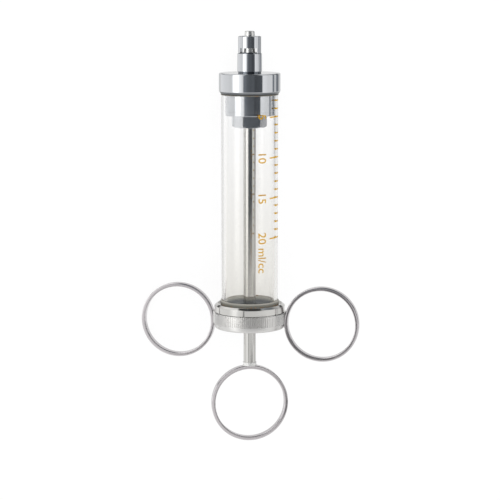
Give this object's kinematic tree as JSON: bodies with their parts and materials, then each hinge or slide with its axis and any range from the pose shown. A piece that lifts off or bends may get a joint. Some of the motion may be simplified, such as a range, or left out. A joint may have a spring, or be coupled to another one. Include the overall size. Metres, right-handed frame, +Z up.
{
  "type": "glass control syringe",
  "caption": "Glass control syringe lying at rest: graduated glass barrel, chromed caps, metal piston on a rod, finger rings, thumb ring and a Luer lock tip.",
  "frame": {"origin": "middle of the whole at the surface it lies on", "axes": "+Y along the barrel towards the Luer tip, +X towards the right finger ring, +Z up"},
  "size_m": [0.0862, 0.1668, 0.0298],
  "materials": {
    "chrome": "polished chrome on brass",
    "chrome_satin": "chrome over a fine turned surface",
    "rod_steel": "polished stainless steel",
    "glass": "clear borosilicate glass",
    "seal": "translucent greenish sealing compound",
    "gasket": "dark rubber",
    "enamel": "fired amber enamel"
  },
  "bodies": {
    "barrel": {"luer_hub": "chrome", "lock_sleeve": "chrome", "front_cap": "chrome", "front_washer": "gasket", "front_seal": "seal", "glass_barrel": "glass", "scale_marks": "enamel", "rear_seal": "seal", "rear_gasket": "gasket", "rear_ring": "chrome"},
    "gland": {"gland_washer": "gasket"},
    "screw_cap": {"rear_cap": "chrome_satin", "finger_ring_left": "chrome", "finger_ring_right": "chrome"},
    "piston": {"piston_shell": "chrome", "piston_back": "chrome"},
    "plunger": {"piston_nut": "chrome_satin", "piston_rod": "rod_steel", "ring_boss": "chrome", "thumb_ring": "chrome"}
  },
  "joints": [
    {"name": "plunger_slide", "type": "slide", "parent": "barrel", "child": "piston", "axis": [0, -0.9997, 0.0257], "range_m": [0, 0.0784]},
    {"name": "plunger_turn", "type": "hinge", "parent": "piston", "child": "plunger", "pos_m": [0, 0.04993, 0.01272], "axis": [0, -0.9997, 0.0257], "continuous": true},
    {"name": "cap_lift", "type": "slide", "parent": "barrel", "child": "gland", "axis": [0, -0.9997, 0.0257], "range_m": [0, 0.0036]},
    {"name": "cap_turn", "type": "hinge", "parent": "gland", "child": "screw_cap", "pos_m": [0, -0.03405, 0.01488], "axis": [0, -0.9997, 0.0257], "range_deg": [0, 1260]}
  ],
  "couplings": [
    {"joint": "cap_lift", "follows": "cap_turn", "m_per_rad": 0.00015915}
  ]
}
